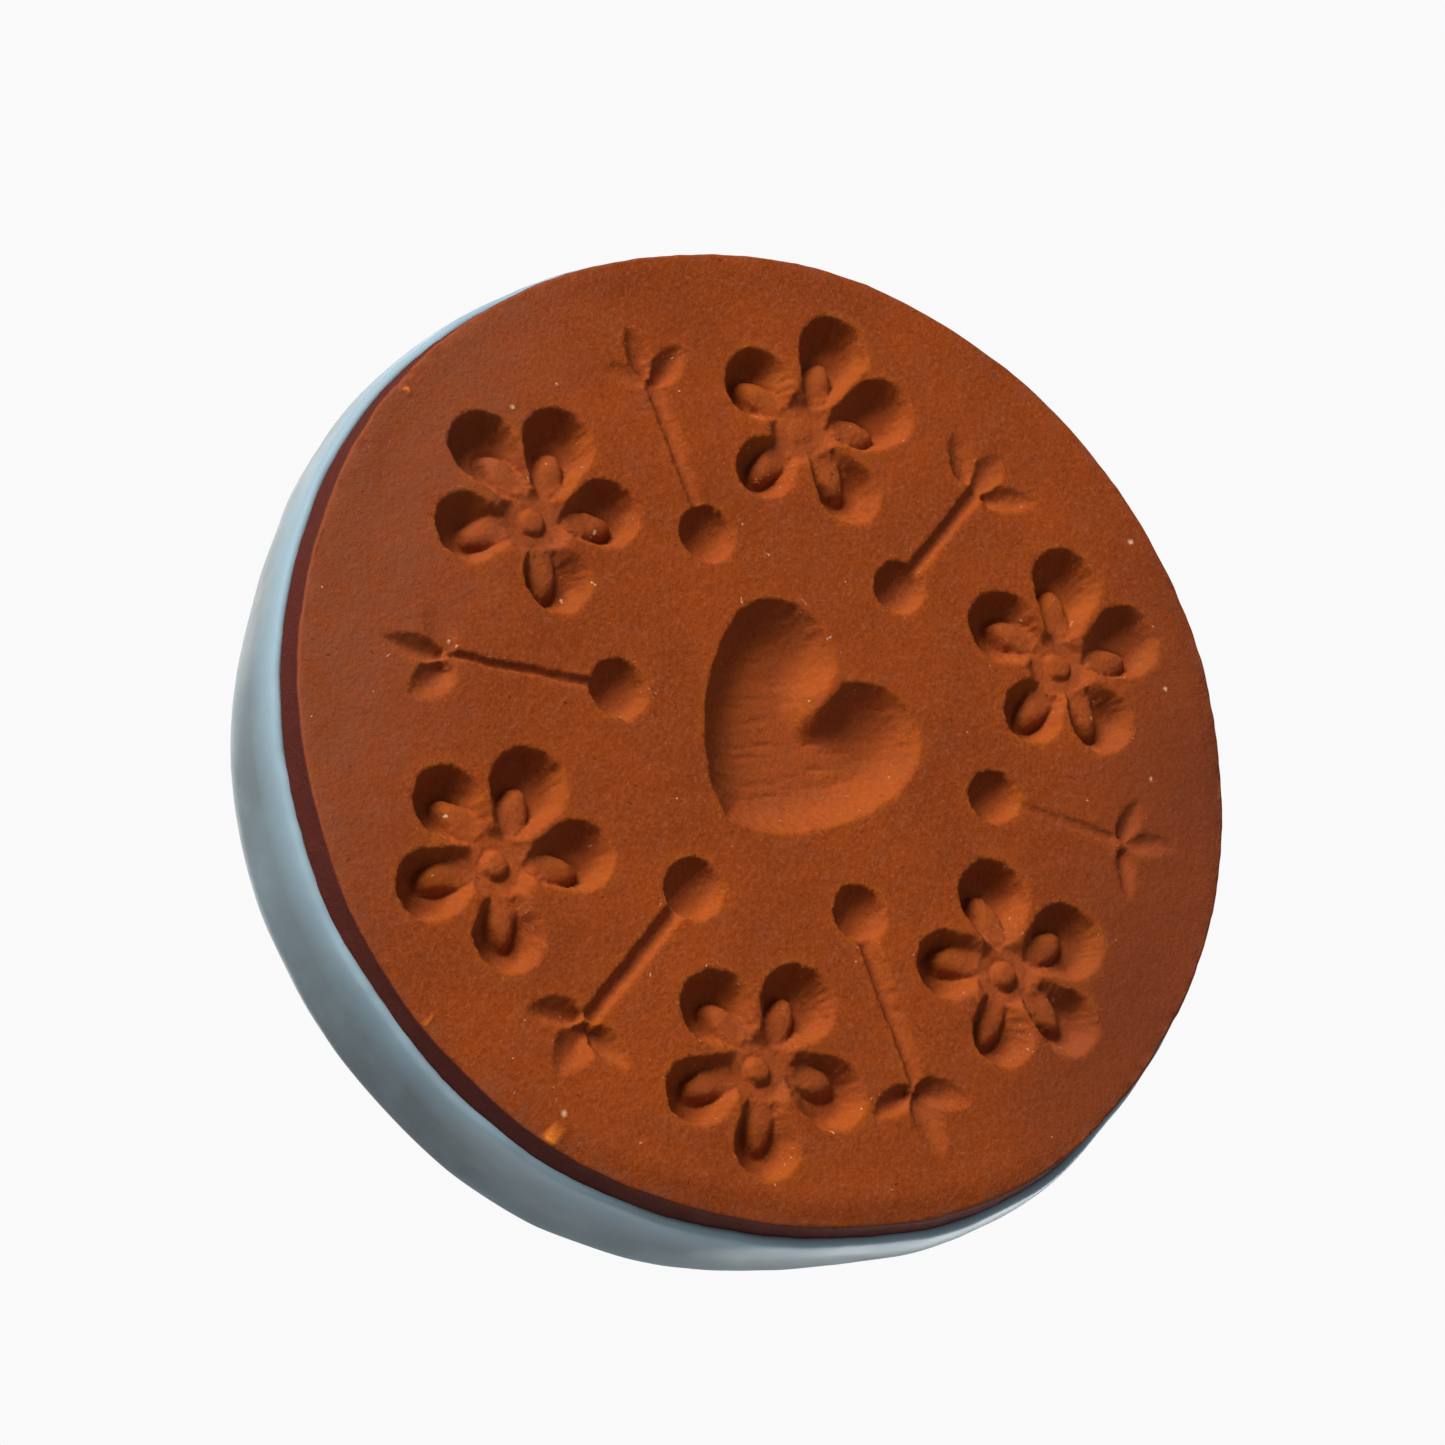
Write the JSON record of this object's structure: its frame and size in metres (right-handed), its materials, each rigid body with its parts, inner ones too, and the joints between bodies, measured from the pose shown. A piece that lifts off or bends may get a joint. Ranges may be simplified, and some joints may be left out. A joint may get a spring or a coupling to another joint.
{
  "type": "hand-pressed ceramic stamp",
  "caption": "Round clay hand stamp with a debossed heart, flowers and sprigs on its bare face, and a glazed back and knob handle.",
  "frame": {"origin": "centre of the flat stamping face, which is also the centre of the bottom of the bounding box", "axes": "+Z runs from the stamping face up the handle, so the face looks along -Z; the heart's tip points to -Y and its lobes to +Y"},
  "size_m": [0.0528, 0.0528, 0.041],
  "materials": {
    "head_clay": "bare fired terracotta, matte, fine grain with pores and pale specks",
    "slip_clay": "bare fired slip, matte",
    "handle_clay": "bare fired terracotta, matte",
    "blue_glaze": "glossy pale blue-grey glaze, thicker and lighter along its lower edge"
  },
  "bodies": {
    "root": {"stamp_head": "head_clay", "joint_slip": "slip_clay", "handle": "handle_clay", "glaze_coat": "blue_glaze"}
  },
  "joints": []
}
